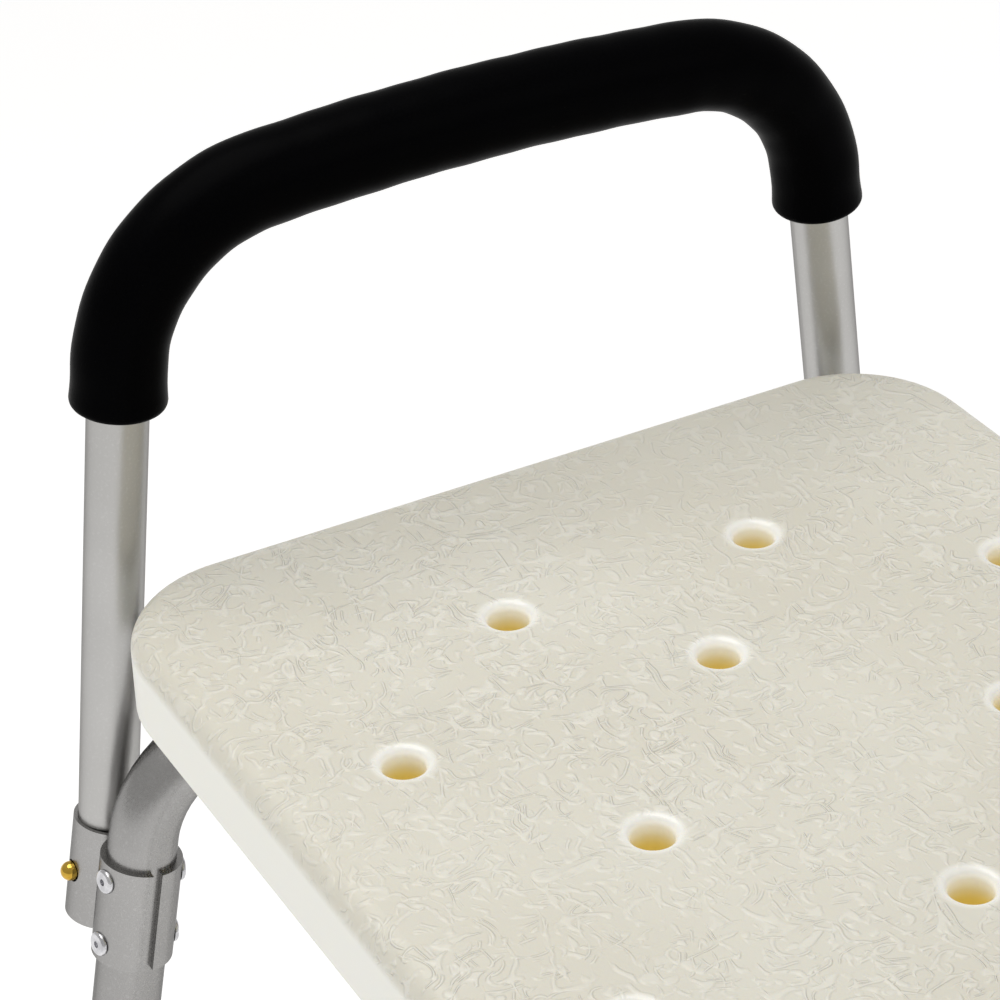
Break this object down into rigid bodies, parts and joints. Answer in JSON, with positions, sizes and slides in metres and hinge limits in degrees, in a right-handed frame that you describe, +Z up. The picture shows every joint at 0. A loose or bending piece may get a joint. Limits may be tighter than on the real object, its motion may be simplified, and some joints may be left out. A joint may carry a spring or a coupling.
{
  "type": "shower chair",
  "caption": "Backless shower chair with an ivory drained seat, two padded lift-off arms held by snap buttons and four height-adjustable splayed legs.",
  "frame": {"origin": "on the floor under the centre of the seat", "axes": "+Z up, +X to the seated person's left, front towards -Y"},
  "size_m": [0.5546, 0.4454, 0.5737],
  "materials": {
    "seat": "ivory blow-moulded plastic, leather-grained top",
    "grip": "smooth black closed-cell foam",
    "button": "polished",
    "spring": "spring steel",
    "foot": "grey non-slip rubber",
    "plastic": "grey moulded plastic",
    "rivet": "bright domed head",
    "steel": "zinc plated",
    "bracket": "satin anodised extrusion",
    "arm_tube": "satin anodised",
    "extension": "satin anodised",
    "frame_tube": "satin anodised"
  },
  "bodies": {
    "frame": {"seat": "seat", "front_rail": "frame_tube", "rear_rail": "frame_tube", "rail_end_plugs": "plastic", "rail_saddles": "plastic", "rail_bolts": "steel", "rail_washers": "steel", "rail_nuts": "steel", "seat_screws": "steel", "seat_screw_washers": "steel", "leg_collars": "plastic", "bracket_rivets": "rivet", "arm_button_springs": "spring", "right_side_frame": "frame_tube", "right_arm_tube": "arm_tube", "right_arm_grip": "grip", "right_front_arm_bracket": "bracket", "right_rear_arm_bracket": "bracket", "left_side_frame": "frame_tube", "left_arm_tube": "arm_tube", "left_arm_grip": "grip", "left_front_arm_bracket": "bracket", "left_rear_arm_bracket": "bracket"},
    "right_front_arm_button_body": {"right_front_arm_button": "button"},
    "right_front_leg": {"right_front_leg_extension": "extension", "right_front_leg_button_spring": "spring", "right_front_foot": "foot", "right_front_foot_washer": "steel"},
    "right_front_leg_button_body": {"right_front_leg_button": "button"},
    "right_rear_arm_button_body": {"right_rear_arm_button": "button"},
    "right_rear_leg": {"right_rear_leg_extension": "extension", "right_rear_leg_button_spring": "spring", "right_rear_foot": "foot", "right_rear_foot_washer": "steel"},
    "right_rear_leg_button_body": {"right_rear_leg_button": "button"},
    "left_front_arm_button_body": {"left_front_arm_button": "button"},
    "left_front_leg": {"left_front_leg_extension": "extension", "left_front_leg_button_spring": "spring", "left_front_foot": "foot", "left_front_foot_washer": "steel"},
    "left_front_leg_button_body": {"left_front_leg_button": "button"},
    "left_rear_arm_button_body": {"left_rear_arm_button": "button"},
    "left_rear_leg": {"left_rear_leg_extension": "extension", "left_rear_leg_button_spring": "spring", "left_rear_foot": "foot", "left_rear_foot_washer": "steel"},
    "left_rear_leg_button_body": {"left_rear_leg_button": "button"}
  },
  "joints": [
    {"name": "right_front_arm_button_press", "type": "slide", "parent": "frame", "child": "right_front_arm_button_body", "axis": [0, 0.9934, -0.1149], "range_m": [0, 0.0067], "stiffness_N_per_m": 900, "springref_m": -0.002, "deforming": ["arm_button_springs"]},
    {"name": "right_front_leg_height", "type": "slide", "parent": "frame", "child": "right_front_leg", "axis": [0, -0.1822, -0.9833], "range_m": [-0.038, 0.076]},
    {"name": "right_front_leg_button_press", "type": "slide", "parent": "right_front_leg", "child": "right_front_leg_button_body", "axis": [0, 0.9833, -0.1822], "range_m": [0, 0.0055], "stiffness_N_per_m": 900, "springref_m": -0.002, "deforming": ["right_front_leg_button_spring"]},
    {"name": "right_rear_arm_button_press", "type": "slide", "parent": "frame", "child": "right_rear_arm_button_body", "axis": [0, -0.9934, -0.1149], "range_m": [0, 0.0067], "stiffness_N_per_m": 900, "springref_m": -0.002},
    {"name": "right_rear_leg_height", "type": "slide", "parent": "frame", "child": "right_rear_leg", "axis": [0, 0.1822, -0.9833], "range_m": [-0.038, 0.076]},
    {"name": "right_rear_leg_button_press", "type": "slide", "parent": "right_rear_leg", "child": "right_rear_leg_button_body", "axis": [0, -0.9833, -0.1822], "range_m": [0, 0.0055], "stiffness_N_per_m": 900, "springref_m": -0.002, "deforming": ["right_rear_leg_button_spring"]},
    {"name": "left_front_arm_button_press", "type": "slide", "parent": "frame", "child": "left_front_arm_button_body", "axis": [0, 0.9934, -0.1149], "range_m": [0, 0.0067], "stiffness_N_per_m": 900, "springref_m": -0.002},
    {"name": "left_front_leg_height", "type": "slide", "parent": "frame", "child": "left_front_leg", "axis": [0, -0.1822, -0.9833], "range_m": [-0.038, 0.076]},
    {"name": "left_front_leg_button_press", "type": "slide", "parent": "left_front_leg", "child": "left_front_leg_button_body", "axis": [0, 0.9833, -0.1822], "range_m": [0, 0.0055], "stiffness_N_per_m": 900, "springref_m": -0.002, "deforming": ["left_front_leg_button_spring"]},
    {"name": "left_rear_arm_button_press", "type": "slide", "parent": "frame", "child": "left_rear_arm_button_body", "axis": [0, -0.9934, -0.1149], "range_m": [0, 0.0067], "stiffness_N_per_m": 900, "springref_m": -0.002},
    {"name": "left_rear_leg_height", "type": "slide", "parent": "frame", "child": "left_rear_leg", "axis": [0, 0.1822, -0.9833], "range_m": [-0.038, 0.076]},
    {"name": "left_rear_leg_button_press", "type": "slide", "parent": "left_rear_leg", "child": "left_rear_leg_button_body", "axis": [0, -0.9833, -0.1822], "range_m": [0, 0.0055], "stiffness_N_per_m": 900, "springref_m": -0.002, "deforming": ["left_rear_leg_button_spring"]}
  ]
}
